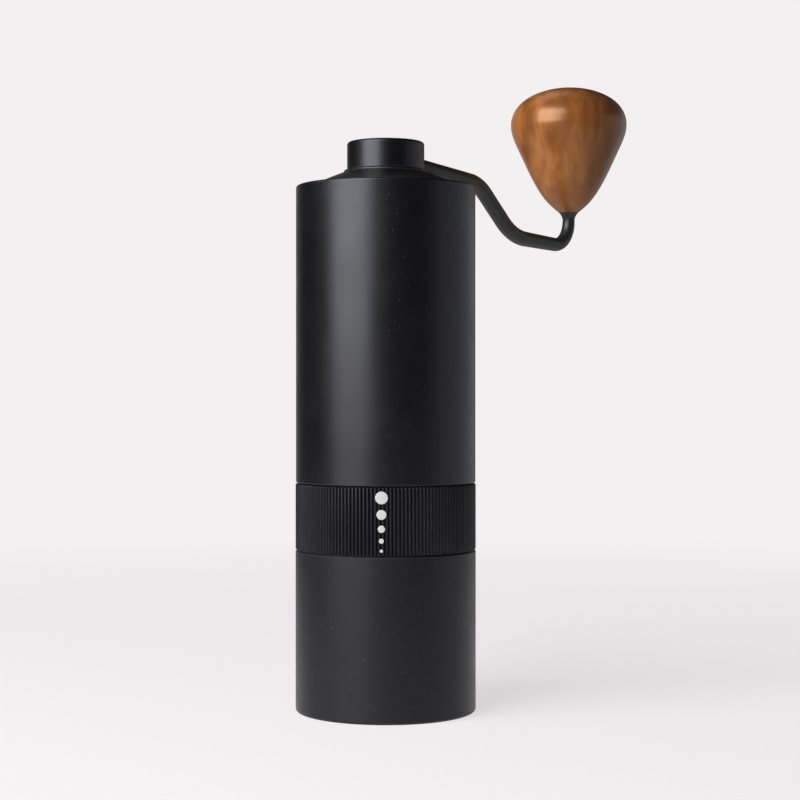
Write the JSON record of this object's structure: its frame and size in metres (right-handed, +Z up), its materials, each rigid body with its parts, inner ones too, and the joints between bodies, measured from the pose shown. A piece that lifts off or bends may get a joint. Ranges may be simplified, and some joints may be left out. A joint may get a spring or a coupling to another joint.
{
  "type": "hand crank coffee grinder",
  "caption": "Slim cylindrical hand coffee grinder: smooth barrel over a ribbed grip band and catch cup, domed lid, bent crank arm with a turned wooden knob.",
  "frame": {"origin": "centre of the face the grinder stands on, under the catch cup", "axes": "+Z up along the shaft; at rest the crank arm points along +X"},
  "size_m": [0.1384, 0.0522, 0.1916],
  "materials": {
    "black_anodised": "matte black anodised, fine bead-blasted",
    "cup_anodised": "matte black anodised",
    "ribbed_black": "black anodised, straight ribs",
    "arm_black": "matte black coated steel",
    "knob_wood": "oiled walnut, satin",
    "carrier_alloy": "grey anodised",
    "burr_steel": "ground stainless steel",
    "shaft_steel": "turned stainless steel",
    "bearing_steel": "polished bearing steel",
    "spring_steel": "spring steel",
    "fastener_steel": "black oxide",
    "seal_rubber": "black nitrile",
    "bush_plastic": "acetal",
    "cage_plastic": "glass-filled nylon"
  },
  "bodies": {
    "body": {"barrel": "black_anodised", "grip_sleeve": "ribbed_black", "burr_carrier": "carrier_alloy", "carrier_screws": "fastener_steel", "ring_burr": "burr_steel", "burr_lock_ring": "carrier_alloy", "cup_seal": "seal_rubber", "upper_bridge": "carrier_alloy", "bridge_clip": "spring_steel", "upper_bearing_outer_race": "bearing_steel", "upper_bearing_shields": "shaft_steel", "lower_bearing_outer_race": "bearing_steel", "lower_bearing_shields": "shaft_steel"},
    "shaft": {"drive_shaft": "shaft_steel", "shaft_clip": "spring_steel", "spring_washer": "shaft_steel", "main_spring": "spring_steel", "upper_bearing_inner_race": "bearing_steel", "lower_bearing_inner_race": "bearing_steel"},
    "upper_ball_set": {"upper_bearing_balls": "bearing_steel", "upper_bearing_cage": "cage_plastic"},
    "lower_ball_set": {"lower_bearing_balls": "bearing_steel", "lower_bearing_cage": "cage_plastic"},
    "burr": {"inner_burr": "burr_steel"},
    "dial": {"adjust_dial": "carrier_alloy", "detent_balls": "bearing_steel", "detent_springs": "spring_steel"},
    "cup": {"catch_cup": "cup_anodised"},
    "lid": {"lid": "black_anodised", "lid_seal": "seal_rubber", "lid_bush": "bush_plastic"},
    "crank": {"crank_hub": "black_anodised", "crank_arm": "arm_black", "arm_set_screw": "fastener_steel", "lid_clip": "spring_steel", "knob_washer": "shaft_steel", "knob_screw": "fastener_steel"},
    "knob": {"wooden_knob": "knob_wood", "knob_ferrule": "arm_black"}
  },
  "joints": [
    {"name": "cup_pull", "type": "slide", "parent": "body", "child": "cup", "axis": [0, 0, -1], "range_m": [0, 0.06]},
    {"name": "lid_lift", "type": "slide", "parent": "body", "child": "lid", "axis": [0, 0, 1], "range_m": [0, 0.04]},
    {"name": "crank_turn", "type": "hinge", "parent": "lid", "child": "crank", "pos_m": [0, 0, 0.1562], "axis": [0, 0, 1], "continuous": true},
    {"name": "knob_spin", "type": "hinge", "parent": "crank", "child": "knob", "pos_m": [0.09345, 0, 0.15095], "axis": [0, 0, 1], "continuous": true},
    {"name": "shaft_turn", "type": "hinge", "parent": "body", "child": "shaft", "pos_m": [0, 0, 0.109], "axis": [0, 0, 1], "continuous": true},
    {"name": "upper_balls_roll", "type": "hinge", "parent": "body", "child": "upper_ball_set", "pos_m": [0, 0, 0.1115], "axis": [0, 0, 1], "continuous": true},
    {"name": "lower_balls_roll", "type": "hinge", "parent": "body", "child": "lower_ball_set", "pos_m": [0, 0, 0.067], "axis": [0, 0, 1], "continuous": true},
    {"name": "burr_feed", "type": "slide", "parent": "shaft", "child": "burr", "axis": [0, 0, 1], "range_m": [-0.00092, 0.00046], "deforming": ["main_spring"]},
    {"name": "dial_turn", "type": "hinge", "parent": "burr", "child": "dial", "pos_m": [0, 0, 0.04125], "axis": [0, 0, 1], "range_deg": [-330, 165]}
  ],
  "couplings": [
    {"joint": "shaft_turn", "follows": "crank_turn", "ratio": 1},
    {"joint": "upper_balls_roll", "follows": "crank_turn", "ratio": 0.4168},
    {"joint": "lower_balls_roll", "follows": "crank_turn", "ratio": 0.4168},
    {"joint": "dial_turn", "follows": "burr_feed", "rad_per_m": 6283.2}
  ]
}
